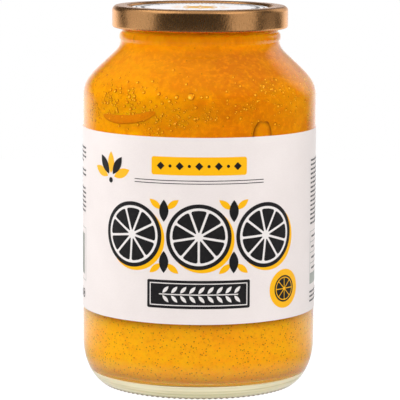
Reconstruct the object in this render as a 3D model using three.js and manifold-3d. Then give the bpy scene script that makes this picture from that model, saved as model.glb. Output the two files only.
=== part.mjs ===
// A large glass jar of set citrus preserve, closed by a twist-off metal lid, with a paper label wrapped round it.
// Millimetres, +Z up. The origin is the centre of the base, on the surface that the jar stands on.
// The front faces -Y, and angles round the jar start there and grow towards +X, counter-clockwise from above.

import * as THREE from "three";
import { mergeVertices } from "three/addons/utils/BufferGeometryUtils.js";
import Module from "manifold-3d";

// Driving dimensions.
const SIDES = 48; // flats in one turn of every round piece
const CLEAR = 0.3; // gap between pieces that touch on the real jar

const BODY_R = 56.8; // outside of the straight glass body
const WALL = 3.3; // glass thickness
const BODY_TOP_Z = 142; // where the straight body turns into the shoulder
const HEEL_Z = 22; // where the rounded heel turns into the straight body
const BEARING_R = 47.5; // outer edge of the ring that the jar stands on
const BEARING_W = 3;
const PUSH_UP = 4; // height of the hollow under the base
const FLOOR_Z = 8; // top of the base glass near the wall
const FLOOR_CROWN = 2.2; // rise of the floor at its middle

const NECK_R = 38.8;
const MOUTH_R = 35.6;
const BEAD_R = 39.4; // the ring below the lid by which the hot jar is held
const BEAD_Z = 170.9;
const FINISH_R = 38.1; // wall under the lid
const RIM_Z = 183.6;
const RIM_CHAMFER = 0.7;
const FILL_Z = 176.5;

const THREAD_R = 39.9;
const THREAD_SPAN = THREE.MathUtils.degToRad(44);
const THREAD_BEHIND = THREE.MathUtils.degToRad(8); // part of a thread behind its lug when the lid is shut
const LEAD = 11.8; // rise of the thread in a full turn
const LUGS = 6;
const LUG_SPAN = THREE.MathUtils.degToRad(12);
const LUG_R = 38.6; // how far in the lugs reach

const LID_R = 42.75;
const LID_TOP_Z = 185.4;
const SHEET = 0.3; // tinplate
const PANEL_R = 34; // recessed panel inside the raised ring
const PANEL_DEPTH = 1.3;
const LID_CORNER = 2.2;
const CURL_R = 1.15; // rolled lower edge
const CURL_Z = 175.9; // centre of the roll

const LABEL_LOW_Z = 38.2;
const LABEL_HIGH_Z = 126.9;
const LABEL_R = 57;
const PAPER = 0.2;
const STICKER_R = 33.2;

const PRESERVE_R = BODY_R - WALL - CLEAR;
const PEEL_COUNT = 14;
const PEEL_T = 1.8;

const wasm = await Module();
wasm.setup();

// A closed geometry as a solid that can be joined and cut.
function solid(geometry) {
  const bare = geometry.clone();
  bare.deleteAttribute("normal");
  bare.deleteAttribute("uv");
  const merged = mergeVertices(bare, 1e-4);
  return new wasm.Manifold(
    new wasm.Mesh({
      numProp: 3,
      vertProperties: merged.attributes.position.array,
      triVerts: new Uint32Array(merged.index.array),
    }),
  );
}

function geometryOf(manifold) {
  const mesh = manifold.getMesh();
  const geometry = new THREE.BufferGeometry();
  geometry.setAttribute("position", new THREE.BufferAttribute(mesh.vertProperties, 3));
  geometry.setIndex(new THREE.BufferAttribute(mesh.triVerts, 1));
  geometry.computeVertexNormals();
  return geometry;
}

// A profile of radius and height, turned about +Z.
function turned(profile) {
  return new THREE.LatheGeometry(profile, SIDES).rotateX(Math.PI / 2);
}

// An outline moved sideways, to the right of the way that its points run.
function offset(points, distance) {
  return points.map((point, i) => {
    const before = points[Math.max(i - 1, 0)];
    const after = points[Math.min(i + 1, points.length - 1)];
    const way = after.clone().sub(before).normalize();
    const x = point.x === 0 ? 0 : point.x + way.y * distance;
    return new THREE.Vector2(x, point.y - way.x * distance);
  });
}

function around(angle, radius, z) {
  return new THREE.Vector3(radius * Math.sin(angle), -radius * Math.cos(angle), z);
}

// Moves each vertex of a geometry to the place that bend gives for it.
function bent(geometry, bend) {
  const positions = geometry.attributes.position;
  for (let i = 0; i < positions.count; i++) {
    const place = bend(positions.getX(i), positions.getY(i), positions.getZ(i));
    positions.setXYZ(i, place.x, place.y, place.z);
  }
  geometry.computeVertexNormals();
  return geometry;
}

// Inside of the glass, from the middle of the floor up to the foot of the mouth.
function cavityOutline() {
  const wall = BODY_R - WALL;
  const line = new THREE.Path();
  line.moveTo(0, FLOOR_Z + FLOOR_CROWN);
  line.bezierCurveTo(14, FLOOR_Z + FLOOR_CROWN, 28, FLOOR_Z, 40, FLOOR_Z);
  line.bezierCurveTo(wall - 5, FLOOR_Z, wall, FLOOR_Z + 5, wall, HEEL_Z);
  line.lineTo(wall, BODY_TOP_Z - 1);
  line.bezierCurveTo(wall, BODY_TOP_Z + 5.8, wall - 4.3, BODY_TOP_Z + 8.9, MOUTH_R + 3.3, BODY_TOP_Z + 18.9);
  line.quadraticCurveTo(MOUTH_R, BODY_TOP_Z + 22.2, MOUTH_R, BODY_TOP_Z + 25.2);
  return line.getPoints(4);
}

// Outside of the glass, from the middle of the base up to the rim and over it into the mouth.
function glassOutline() {
  const line = new THREE.Path();
  line.moveTo(0, PUSH_UP);
  line.bezierCurveTo(24, PUSH_UP, 38, PUSH_UP - 1, BEARING_R - BEARING_W, 0);
  line.lineTo(BEARING_R, 0);
  line.bezierCurveTo(BEARING_R + 5.5, 3.5, BODY_R, 12, BODY_R, HEEL_Z);
  line.lineTo(BODY_R, BODY_TOP_Z);
  line.bezierCurveTo(BODY_R, BODY_TOP_Z + 8, BODY_R - 5.3, BODY_TOP_Z + 11.5, NECK_R + 2.7, BODY_TOP_Z + 21);
  line.quadraticCurveTo(NECK_R + 0.1, BODY_TOP_Z + 23.5, NECK_R, BEAD_Z - 2.3);
  line.lineTo(BEAD_R, BEAD_Z - 1.2);
  line.lineTo(BEAD_R, BEAD_Z + 1);
  line.lineTo(FINISH_R, BEAD_Z + 2);
  line.lineTo(FINISH_R, RIM_Z - RIM_CHAMFER);
  line.lineTo(FINISH_R - RIM_CHAMFER, RIM_Z);
  line.lineTo(MOUTH_R + RIM_CHAMFER, RIM_Z);
  line.lineTo(MOUTH_R, RIM_Z - RIM_CHAMFER);
  return line.getPoints(4);
}

// One of the ramps on the glass that a lug runs under. Its underside climbs with the lid as the lid turns open.
function thread(angle) {
  const underside = CURL_Z + 0.5;
  const rootHeight = 2.8;
  const crestHeight = 1.6;
  const sunkR = FINISH_R - 0.5;
  return bent(new THREE.BoxGeometry(1, 1, 1, 6, 1, 1), (x, y, z) => {
    const along = x * THREAD_SPAN + THREAD_SPAN / 2 - THREAD_BEHIND;
    const runOut = Math.min(1, (0.5 - Math.abs(x)) * 6 + 0.25);
    const atCrest = y < 0;
    const radius = atCrest ? FINISH_R + (THREAD_R - FINISH_R) * runOut : sunkR;
    const height = atCrest ? crestHeight : rootHeight;
    return around(angle + along, radius, underside + (LEAD * along) / (2 * Math.PI) + (z + 0.5) * height);
  });
}

function glassJar() {
  const profile = [...glassOutline(), ...cavityOutline().reverse()];
  let jar = solid(turned(profile));
  for (let i = 0; i < LUGS; i++) jar = jar.add(solid(thread((i * 2 * Math.PI) / LUGS)));
  return geometryOf(jar);
}

// Tinplate from the middle of the panel over the raised ring and down the skirt, with its lower edge rolled inwards.
function lidOutline() {
  const line = new THREE.Path();
  line.moveTo(0, LID_TOP_Z - PANEL_DEPTH);
  line.lineTo(PANEL_R, LID_TOP_Z - PANEL_DEPTH);
  line.bezierCurveTo(
    PANEL_R + 1.2, LID_TOP_Z - PANEL_DEPTH,
    PANEL_R + 1.2, LID_TOP_Z,
    PANEL_R + 2.4, LID_TOP_Z,
  );
  line.lineTo(LID_R - LID_CORNER, LID_TOP_Z);
  line.quadraticCurveTo(LID_R, LID_TOP_Z, LID_R, LID_TOP_Z - LID_CORNER);
  line.lineTo(LID_R, CURL_Z);
  line.absarc(LID_R - CURL_R, CURL_Z, CURL_R, 0, -Math.PI, true);
  return line.getPoints(3);
}

// A stretch of the rolled edge pressed flat and inwards, which grips under a thread.
function lug(angle) {
  const outer = LID_R - CURL_R - 0.2;
  const low = CURL_Z - CURL_R + 0.1;
  const thickness = CURL_R - 0.1;
  return bent(new THREE.BoxGeometry(1, 1, 1, 2, 1, 1), (x, y, z) => {
    const narrowing = y < 0 ? 1 : 0.8;
    const radius = y < 0 ? outer : LUG_R;
    return around(angle + x * LUG_SPAN * narrowing, radius, low + (z + 0.5) * thickness);
  });
}

function lid() {
  const outside = lidOutline();
  const inside = offset(outside, SHEET);
  let shell = solid(turned([...inside, ...outside.reverse()]));
  for (let i = 0; i < LUGS; i++) shell = shell.add(solid(lug((i * 2 * Math.PI) / LUGS)));
  return geometryOf(shell);
}

// The soft sealing ring in the lid's channel, over the glass rim.
function gasket() {
  const low = RIM_Z + CLEAR;
  const high = LID_TOP_Z - SHEET - CLEAR;
  const corners = [
    [MOUTH_R + 0.7, low],
    [FINISH_R + 1.2, low],
    [FINISH_R + 2, high - 0.3],
    [FINISH_R + 2, high],
    [MOUTH_R + 1.2, high],
    [MOUTH_R + 0.7, high - 0.3],
    [MOUTH_R + 0.7, low],
  ];
  return turned(corners.map(([x, y]) => new THREE.Vector2(x, y)));
}

// Paper wrapped round the straight body, with its two ends one flat apart at the back. Its flats lie on the glass's.
function label() {
  const flats = SIDES - 1;
  const flat = (2 * Math.PI) / SIDES;
  const middle = (LABEL_LOW_Z + LABEL_HIGH_Z) / 2;
  const height = LABEL_HIGH_Z - LABEL_LOW_Z;
  return bent(new THREE.BoxGeometry(1, 1, 1, flats, 1, 1), (x, y, z) =>
    around((x * flats + 0.5) * flat, LABEL_R + (0.5 - y) * PAPER, middle + z * height),
  );
}

function sticker() {
  const low = LID_TOP_Z - PANEL_DEPTH + 0.1;
  const disc = new THREE.CylinderGeometry(STICKER_R, STICKER_R, PAPER, SIDES);
  return disc.rotateX(Math.PI / 2).translate(0, 0, low + PAPER / 2);
}

// A cut strip of peel that lies against the glass: a flattened rod, bowed across and bent round the jar.
// margin makes the same strip larger all round and lets it out through the preserve's surface, for its pocket.
function strip(peel, margin) {
  const length = peel.length + 2 * margin;
  const width = peel.width + 2 * margin;
  const outR = PRESERVE_R + 2 * margin;
  const rod = new THREE.CylinderGeometry(1, 1, 1, 6, 6).rotateZ(-Math.PI / 2);
  return bent(rod, (x, y, z) => {
    const end = Math.abs(2 * x) ** peel.bluntness;
    const size = Math.max(Math.sqrt(Math.max(1 - end, 0)), 0.35);
    const along = x * length;
    const bow = peel.bow * (1 - (2 * along / peel.length) ** 2);
    const across = Math.sign(z) * Math.sqrt(Math.abs(z)) * (width / 2) * size + bow;
    const inwards = (1 + Math.sign(y) * Math.sqrt(Math.abs(y))) / 2;
    const inR = PRESERVE_R - PEEL_T * Math.max(size, 0.6) - margin;
    const sideways = along * Math.cos(peel.tilt) - across * Math.sin(peel.tilt);
    const up = along * Math.sin(peel.tilt) + across * Math.cos(peel.tilt);
    const radius = THREE.MathUtils.lerp(outR, inR, inwards);
    return around(peel.angle + sideways / PRESERVE_R, radius, peel.z + up);
  });
}

// The crescent and the broad end that show above the label in front, then thin strips spread all round.
// In front the thin strips lie behind the label, and on the sides and back some show above and below it.
function peelPlan() {
  const { degToRad, seededRandom } = THREE.MathUtils;
  seededRandom(7);
  const plan = [
    { angle: degToRad(-39.2), z: 136.2, tilt: degToRad(6), length: 28.2, width: 4.1, bow: -2.3, bluntness: 6 },
    { angle: degToRad(33), z: 126.5, tilt: degToRad(86), length: 14, width: 10.5, bow: 0, bluntness: 2 },
  ];
  const goldenAngle = degToRad(137.5);
  const openHeights = [31, 135, 30, 88, 136];
  for (let i = 0; plan.length < PEEL_COUNT; i++) {
    const angle = degToRad(95) + i * goldenAngle;
    const hiddenHeight = 52 + 62 * ((i * 0.618) % 1);
    plan.push({
      angle,
      z: Math.cos(angle) > 0.2 ? hiddenHeight : openHeights[i % openHeights.length],
      tilt: degToRad(-22 + 44 * seededRandom()),
      length: 17 + 9 * seededRandom(),
      width: 2.4 + 1.4 * seededRandom(),
      bow: 4 * seededRandom() - 2,
      bluntness: 8,
    });
  }
  return plan;
}

function preserve(plan) {
  const side = offset(cavityOutline(), -CLEAR);
  const top = [new THREE.Vector2(MOUTH_R - CLEAR, FILL_Z), new THREE.Vector2(0, FILL_Z)];
  let filling = solid(turned([...side, ...top]));
  for (const peel of plan) filling = filling.subtract(solid(strip(peel, CLEAR + 0.1)));
  return geometryOf(filling);
}

const glassLook = new THREE.MeshStandardMaterial({
  color: 0xe9ece0, roughness: 0.04, metalness: 0, transparent: true, opacity: 0.35,
});
const preserveLook = new THREE.MeshStandardMaterial({ color: 0xf5960f, roughness: 0.25, metalness: 0 });
const peelLook = new THREE.MeshStandardMaterial({ color: 0xd9730a, roughness: 0.5, metalness: 0 });
const labelLook = new THREE.MeshStandardMaterial({ color: 0xf3eeea, roughness: 0.55, metalness: 0 });
const lidLook = new THREE.MeshStandardMaterial({ color: 0xb88a55, roughness: 0.28, metalness: 0.9 });
const gasketLook = new THREE.MeshStandardMaterial({ color: 0xe8e2d2, roughness: 0.6, metalness: 0 });
const stickerLook = new THREE.MeshStandardMaterial({ color: 0xf8f7f4, roughness: 0.6, metalness: 0 });

const jar = new THREE.Group();

function place(name, geometry, look) {
  const mesh = new THREE.Mesh(geometry, look);
  mesh.name = name;
  jar.add(mesh);
}

const plan = peelPlan();
place("glass_jar", glassJar(), glassLook);
place("preserve", preserve(plan), preserveLook);
plan.forEach((peel, i) => place(`peel_${String(i + 1).padStart(2, "0")}`, strip(peel, 0), peelLook));
place("label", label(), labelLook);
place("lid", lid(), lidLook);
place("lid_gasket", gasket(), gasketLook);
place("lid_sticker", sticker(), stickerLook);

export default jar;
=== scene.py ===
# A large glass jar of amber citrus preserve, with a gold twist-off lid and a printed paper label.
import math
import random

import bmesh
import bpy
from mathutils import Matrix, Vector
from mathutils.geometry import interpolate_bezier


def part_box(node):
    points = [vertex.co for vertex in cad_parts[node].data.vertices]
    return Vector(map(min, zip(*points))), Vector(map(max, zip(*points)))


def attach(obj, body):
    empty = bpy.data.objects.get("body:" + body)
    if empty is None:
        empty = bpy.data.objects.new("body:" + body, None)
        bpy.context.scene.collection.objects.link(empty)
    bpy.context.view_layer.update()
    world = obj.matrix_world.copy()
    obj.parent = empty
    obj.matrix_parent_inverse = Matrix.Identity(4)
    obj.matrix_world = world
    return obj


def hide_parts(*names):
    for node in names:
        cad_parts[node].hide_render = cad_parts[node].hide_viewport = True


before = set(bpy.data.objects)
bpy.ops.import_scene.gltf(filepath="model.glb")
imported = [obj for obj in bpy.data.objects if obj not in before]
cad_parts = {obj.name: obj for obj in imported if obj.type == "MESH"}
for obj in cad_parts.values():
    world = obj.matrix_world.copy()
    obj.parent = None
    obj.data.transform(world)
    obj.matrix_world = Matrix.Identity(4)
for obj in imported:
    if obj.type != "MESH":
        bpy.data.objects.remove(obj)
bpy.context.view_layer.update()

# The view: a long lens at 1.25 m, aimed at the middle of the jar from a little above.
# The camera leans by a third of a degree, as the jar's axis leans in the photo.
mm = 0.001
aim = Vector((0.45 * mm, 0, 89.8 * mm))
camera_distance = 1.248
look_down = math.radians(7.9)
lean = math.radians(0.33)

lens = bpy.data.cameras.new("camera")
lens.lens = 228.7
lens.sensor_width = 36
camera = bpy.data.objects.new("camera", lens)
camera.matrix_world = (
    Matrix.Translation(aim)
    @ Matrix.Rotation(math.pi / 2 - look_down, 4, "X")
    @ Matrix.Rotation(lean, 4, "Z")
    @ Matrix.Translation((0, 0, camera_distance))
)
bpy.context.scene.collection.objects.link(camera)
bpy.context.scene.camera = camera
bpy.context.scene.view_settings.view_transform = "Standard"


# The studio: white walls that are bright behind the jar and dark on the camera's side. Large box lamps at the
# left, the right, above and in front light the jar, but the glass doesn't reflect them. The bright bands
# on the lid come from cards that only the lid's pieces reflect.
def add_node(tree, kind, values=None, **settings):
    """A shader node with these settings and plain input values."""
    made = tree.nodes.new("ShaderNode" + kind)
    for name, value in settings.items():
        setattr(made, name, value)
    for name, value in (values or {}).items():
        made.inputs[name].default_value = value
    return made


studio = bpy.data.worlds.new("studio")
studio.use_nodes = True
bpy.context.scene.world = studio
air = studio.node_tree
air.nodes.clear()
direction = add_node(air, "TexCoord")
towards_back = add_node(air, "VectorMath", {1: (-0.12, 1, -0.8)}, operation="DOT_PRODUCT")
towards_gleam = add_node(air, "VectorMath", {1: (0.58, 0.76, 0.3)}, operation="DOT_PRODUCT")
upwards = add_node(air, "SeparateXYZ")
walls = add_node(
    air, "MapRange", {"From Min": 0.65, "From Max": 1.03, "To Min": 0.05, "To Max": 1.25},
    interpolation_type="SMOOTHSTEP",
)
gleam = add_node(
    air, "MapRange", {"From Min": 0.89, "From Max": 1.0, "To Max": 0.8}, interpolation_type="SMOOTHSTEP",
)
ceiling = add_node(air, "MapRange", {"From Min": 0.3, "From Max": 0.95, "To Max": 0.1})
walls_and_ceiling = add_node(air, "Math", operation="ADD")
all_light = add_node(air, "Math", operation="ADD")
lit_walls = add_node(air, "Background", {"Color": (1, 1, 1, 1)})
seen_walls = add_node(air, "Background", {"Color": (1, 1, 1, 1), "Strength": 1.0})
sight = add_node(air, "LightPath")
shown = add_node(air, "MixShader")
air.links.new(direction.outputs["Generated"], towards_back.inputs[0])
air.links.new(direction.outputs["Generated"], towards_gleam.inputs[0])
air.links.new(direction.outputs["Generated"], upwards.inputs["Vector"])
air.links.new(towards_back.outputs["Value"], walls.inputs["Value"])
air.links.new(towards_gleam.outputs["Value"], gleam.inputs["Value"])
air.links.new(upwards.outputs["Z"], ceiling.inputs["Value"])
air.links.new(walls.outputs["Result"], walls_and_ceiling.inputs[0])
air.links.new(ceiling.outputs["Result"], walls_and_ceiling.inputs[1])
air.links.new(gleam.outputs["Result"], all_light.inputs[0])
air.links.new(walls_and_ceiling.outputs["Value"], all_light.inputs[1])
air.links.new(all_light.outputs["Value"], lit_walls.inputs["Strength"])
air.links.new(sight.outputs["Is Camera Ray"], shown.inputs["Fac"])
air.links.new(lit_walls.outputs["Background"], shown.inputs[1])
air.links.new(seen_walls.outputs["Background"], shown.inputs[2])
sky = add_node(air, "OutputWorld")
air.links.new(shown.outputs["Shader"], sky.inputs["Surface"])


def box_lamp(name, turn, height, distance, size, level, reflected=False):
    """A soft lamp aimed at the jar. turn is its degrees round from the camera, to the right, and level is how
    brightly it lights white paper that faces it."""
    lamp = bpy.data.lights.new(name, "AREA")
    lamp.shape = "RECTANGLE"
    lamp.size, lamp.size_y = size
    lamp.energy = level * (math.pi * distance) ** 2
    made = bpy.data.objects.new(name, lamp)
    made.matrix_world = (
        Matrix.Translation(aim)
        @ Matrix.Rotation(math.radians(turn), 4, "Z")
        @ Matrix.Rotation(math.radians(90 - height), 4, "X")
        @ Matrix.Translation((0, 0, distance))
    )
    made.visible_glossy = reflected
    made.visible_transmission = reflected
    bpy.context.scene.collection.objects.link(made)
    return made


def card(name, turn, height, distance, size, shine, shone_on):
    """A card that only the pieces in one collection reflect. shine is how bright it looks."""
    level = shine * size[0] * size[1] / (math.pi * distance ** 2)
    made = box_lamp(name, turn, height, distance, size, level, reflected=True)
    made.light_linking.receiver_collection = shone_on


box_lamp("left_box", turn=-95, height=12, distance=0.95, size=(1.1, 1.2), level=1.42)
box_lamp("right_box", turn=80, height=8, distance=1.15, size=(1.1, 1.0), level=0.68)
box_lamp("top_box", turn=0, height=80, distance=1.1, size=(1.3, 1.3), level=0.37)
box_lamp("front_fill", turn=0, height=24, distance=1.7, size=(1.2, 1.2), level=0.82)
lid_pieces = bpy.data.collections.new("lid_pieces")
card("left_card", -84, 30, distance=0.5, size=(0.5, 0.9), shine=0.6, shone_on=lid_pieces)
card("right_card", 56, 26, distance=0.5, size=(0.37, 0.8), shine=0.6, shone_on=lid_pieces)
card("right_edge_card", 101, 8, distance=0.5, size=(0.22, 0.3), shine=0.2, shone_on=lid_pieces)
card("far_left_card", -145, 2, distance=0.6, size=(0.25, 0.2), shine=0.3, shone_on=lid_pieces)
card("far_right_card", 143, 2, distance=0.6, size=(0.25, 0.2), shine=0.4, shone_on=lid_pieces)
card("top_card", 0, 80, distance=0.5, size=(0.9, 0.6), shine=0.45, shone_on=lid_pieces)


# The table: one wide pale sheet that fades into the white walls well behind the jar. It is brighter close
# to the jar, whose base gathers light from it.
def finished(name, mesh_in_work, *materials):
    """The worked mesh as a smooth object at the origin."""
    mesh = bpy.data.meshes.new(name)
    mesh_in_work.to_mesh(mesh)
    mesh_in_work.free()
    mesh.shade_smooth()
    for material in materials:
        mesh.materials.append(material)
    made = bpy.data.objects.new(name, mesh)
    bpy.context.scene.collection.objects.link(made)
    return made


def plain_finish(name, values):
    """A material with plain values on its shader. Gives the material, its node tree and the shader."""
    material = bpy.data.materials.new(name)
    material.use_nodes = True
    shader = material.node_tree.nodes["Principled BSDF"]
    for socket, value in values.items():
        shader.inputs[socket].default_value = value
    return material, material.node_tree, shader


table_finish, tree, shader = plain_finish(
    "table_paper",
    {"Base Color": (0.14, 0.14, 0.14, 1), "Roughness": 0.9, "Specular IOR Level": 0.1,
     "Emission Color": (1, 1, 1, 1)},
)
place = add_node(tree, "TexCoord")
depth = add_node(tree, "SeparateXYZ")
from_jar = add_node(tree, "VectorMath", operation="LENGTH")
glow_behind = add_node(tree, "MapRange", {"From Min": -0.02, "From Max": 0.1, "To Min": 0.03, "To Max": 0.85})
glow_under = add_node(tree, "MapRange", {"From Min": 0.105, "From Max": 0.07, "To Max": 0.62})
glow = add_node(tree, "Math", operation="MAXIMUM")
ray = add_node(tree, "LightPath")
seen_glow = add_node(tree, "MapRange", {"To Max": 0.98})
tree.links.new(place.outputs["Object"], depth.inputs["Vector"])
tree.links.new(place.outputs["Object"], from_jar.inputs[0])
tree.links.new(depth.outputs["Y"], glow_behind.inputs["Value"])
tree.links.new(from_jar.outputs["Value"], glow_under.inputs["Value"])
tree.links.new(glow_behind.outputs["Result"], glow.inputs[0])
tree.links.new(glow_under.outputs["Result"], glow.inputs[1])
tree.links.new(ray.outputs["Is Camera Ray"], seen_glow.inputs["Value"])
tree.links.new(glow.outputs["Value"], seen_glow.inputs["To Min"])
tree.links.new(seen_glow.outputs["Result"], shader.inputs["Emission Strength"])

sheet = bmesh.new()
bmesh.ops.create_circle(
    sheet, cap_ends=True, segments=96, radius=0.9, matrix=Matrix.Translation((0, 0, -0.1 * mm)),
)
table = finished("table", sheet, table_finish)

# The jar: blown and pressed glass with a thick base pushed up in the middle, a knurled ring to stand on,
# a sloping shoulder and a bead under the lid. Its outline is half a section, turned round the axis.
glass_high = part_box("glass_jar")[1]
body_r = glass_high.x / mm
rim_z = glass_high.z / mm
wall = 3.3
inner_r = body_r - wall
push_up = 4
bearing_r = 47.5
bearing_width = 3
heel_z = 22
floor_z = 8
floor_middle_z = 10.2
body_top_z = 142
shoulder_top_z = body_top_z + 21
neck_r = 38.8
bead_r = 39.4
bead_z = 170.9
neck_top_z = bead_z - 2.3
finish_r = 38.1
mouth_r = 35.6
fill_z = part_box("preserve")[1].z / mm
knurls = 104
turn_steps = 3 * knurls


def curve(start, leave, arrive, end, steps):
    """Points along a curve after its start, as radius and height."""
    knots = [Vector((r, 0, z)) for r, z in (start, leave, arrive, end)]
    return [(p.x, p.z) for p in interpolate_bezier(*knots, steps + 1)[1:]]


def turned(outline, steps):
    """A worked mesh: an outline of radius and height in millimetres, spun round the jar's axis."""
    work = bmesh.new()
    knots = [work.verts.new((r * mm, 0, z * mm)) for r, z in outline]
    edges = [work.edges.new(pair) for pair in zip(knots, knots[1:])]
    bmesh.ops.spin(
        work, geom=knots + edges, cent=(0, 0, 0), axis=(0, 0, 1), dvec=(0, 0, 0),
        angle=2 * math.pi, steps=steps, use_merge=True,
    )
    bmesh.ops.remove_doubles(work, verts=work.verts, dist=0.001 * mm)
    bmesh.ops.recalc_face_normals(work, faces=work.faces)
    return work


outside = [
    (0, push_up),
    *curve((0, push_up), (24, push_up), (38, push_up - 1), (bearing_r - bearing_width, 0.3), 14),
    (bearing_r - bearing_width + 0.8, 0),
    (bearing_r - 1.2, 0),
    (bearing_r, 0.25),
    *curve((bearing_r, 0.25), (bearing_r + 5.5, 3.7), (body_r, 12), (body_r, heel_z), 18),
    (body_r, 60),
    (body_r, 100),
    (body_r, body_top_z),
    *curve((body_r, body_top_z), (body_r, body_top_z + 8), (body_r - 5.3, body_top_z + 11.5),
           (neck_r + 2.7, shoulder_top_z), 20),
    *curve((neck_r + 2.7, shoulder_top_z), (neck_r + 0.6, shoulder_top_z + 2), (neck_r, bead_z - 4),
           (neck_r, neck_top_z), 8),
    *curve((neck_r, neck_top_z), (neck_r + 0.1, bead_z - 1.9), (bead_r, bead_z - 1.8),
           (bead_r, bead_z - 0.4), 6),
    *curve((bead_r, bead_z - 0.4), (bead_r, bead_z + 1.4), (finish_r + 0.2, bead_z + 1.6),
           (finish_r, bead_z + 2.2), 6),
    (finish_r, 178),
    (finish_r, rim_z - 1),
    *curve((finish_r, rim_z - 1), (finish_r, rim_z - 0.3), (finish_r - 0.4, rim_z),
           (finish_r - 0.9, rim_z), 5),
    (mouth_r + 0.9, rim_z),
]
slope_end = (mouth_r + 3.3, body_top_z + 18.9)
cavity = [
    (0, floor_middle_z),
    *curve((0, floor_middle_z), (14, floor_middle_z), (28, floor_z), (40, floor_z), 12),
    *curve((40, floor_z), (inner_r - 5, floor_z), (inner_r, 13), (inner_r, heel_z), 14),
    (inner_r, 60),
    (inner_r, 100),
    (inner_r, body_top_z - 1),
    *curve((inner_r, body_top_z - 1), (inner_r, body_top_z + 5.8), (inner_r - 4.3, body_top_z + 8.9),
           slope_end, 18),
    *curve(slope_end, (mouth_r + 1.1, body_top_z + 21.1), (mouth_r, body_top_z + 23.2),
           (mouth_r, body_top_z + 25.2), 8),
    (mouth_r, fill_z),
    (mouth_r, rim_z - 1),
]
glass_mesh = turned(outside + cavity[::-1], turn_steps)

# The stippling round the bearing ring: every third step of the turn stays down, and the next two are lifted.
knurl_lift = 0.3
knurl_in_r = bearing_r - 1.3
for vert in glass_mesh.verts:
    radius = vert.co.xy.length / mm
    if knurl_in_r < radius < bearing_r + 1.6 and vert.co.z < 1.4 * mm:
        step = round(math.atan2(vert.co.y, vert.co.x) / (2 * math.pi) * turn_steps)
        if step % 3:
            vert.co.z += knurl_lift * mm

# Below the fill line the preserve wets the glass, so the inner wall there hardly bends light. The thick base
# is painted pale, for the light it keeps in, and the steps of the stippling that stay down are frosted and
# painted dark brown, for the shade and the amber seen in them.
clear, wetted, pale, dull = range(4)
bmesh.ops.recalc_face_normals(glass_mesh, faces=glass_mesh.faces)
for face in glass_mesh.faces:
    middle = face.calc_center_median()
    outwards = Vector((middle.x, middle.y, 0)).normalized()
    on_floor = face.normal.z > 0.5 and middle.z < 12 * mm
    faces_in = middle.z > 6 * mm and (face.normal.dot(outwards) < -0.02 or on_floor)
    face.material_index = clear
    if faces_in and middle.z < fill_z * mm:
        face.material_index = wetted
    elif knurl_in_r < middle.xy.length / mm < bearing_r + 1.8 and middle.z < 0.8 * mm:
        step = math.atan2(middle.y, middle.x) / (2 * math.pi) * turn_steps % 3
        face.material_index = pale if 1 < step < 2 else dull
    elif middle.xy.length > bearing_r * mm and middle.z < floor_z * mm:
        face.material_index = pale


def clear_glass(name, ior, tint):
    """Glass that bends what is seen through it, and lets the lamps' light straight in to what it holds."""
    material, tree, shader = plain_finish(
        name,
        {"Base Color": (*tint, 1), "Roughness": 0.0, "IOR": ior, "Transmission Weight": 1.0,
         "Specular IOR Level": 0.2},
    )
    place = add_node(tree, "TexCoord")
    drawn_out = add_node(tree, "Mapping", {"Scale": (14, 14, 420)})
    ripple = add_node(tree, "TexNoise", {"Scale": 1.0, "Detail": 1.0})
    ripples = add_node(tree, "Bump", {"Strength": 0.12, "Distance": 0.4 * mm})
    tree.links.new(place.outputs["Object"], drawn_out.inputs["Vector"])
    tree.links.new(drawn_out.outputs["Vector"], ripple.inputs["Vector"])
    tree.links.new(ripple.outputs["Fac"], ripples.inputs["Height"])
    tree.links.new(ripples.outputs["Normal"], shader.inputs["Normal"])
    output = tree.nodes["Material Output"]
    ray = add_node(tree, "LightPath")
    soft_rays = add_node(tree, "Math", operation="MAXIMUM")
    tree.links.new(ray.outputs["Is Shadow Ray"], soft_rays.inputs[0])
    tree.links.new(ray.outputs["Is Diffuse Ray"], soft_rays.inputs[1])
    straight = add_node(tree, "BsdfTransparent", {"Color": (*tint, 1)})
    either = add_node(tree, "MixShader")
    tree.links.new(soft_rays.outputs["Value"], either.inputs["Fac"])
    tree.links.new(shader.outputs["BSDF"], either.inputs[1])
    tree.links.new(straight.outputs["BSDF"], either.inputs[2])
    tree.links.new(either.outputs["Shader"], output.inputs["Surface"])
    return material


# The frosted steps are painted dark brown, for the shade and the amber seen through them.
frosted_shaded_glass = plain_finish("jar_glass_frosted_shaded", {"Roughness": 0.4, "Base Color": (0.13, 0.065, 0.02, 1)})[0]
# The thick base is painted pale, with painted streaks of highlight, for the light it keeps in.
thick_glass, tree, shader = plain_finish(
    "jar_glass_base", {"Roughness": 0.06, "IOR": 1.5, "Transmission Weight": 0.3},
)
place = add_node(tree, "TexCoord")
drawn_out = add_node(tree, "Mapping", {"Scale": (14, 14, 900)})
layers = add_node(tree, "TexNoise", {"Scale": 1.0, "Detail": 2.0})
sharper = add_node(tree, "MapRange", {"From Min": 0.36, "From Max": 0.6})
painted_glow_streaks = add_node(tree, "Mix", {6: (0.66, 0.65, 0.38, 1), 7: (0.98, 0.94, 0.68, 1)}, data_type="RGBA")
tree.links.new(place.outputs["Object"], drawn_out.inputs["Vector"])
tree.links.new(drawn_out.outputs["Vector"], layers.inputs["Vector"])
tree.links.new(layers.outputs["Fac"], sharper.inputs["Value"])
tree.links.new(sharper.outputs["Result"], painted_glow_streaks.inputs[0])
tree.links.new(painted_glow_streaks.outputs[2], shader.inputs["Base Color"])
glass = finished(
    "jar_glass", glass_mesh,
    clear_glass("jar_glass", 1.5, (1.0, 0.965, 0.79)),
    clear_glass("jar_glass_wetted", 1.06, (1.0, 1.0, 1.0)),
    thick_glass,
    frosted_shaded_glass,
)
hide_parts("glass_jar")
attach(glass, "jar")

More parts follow.
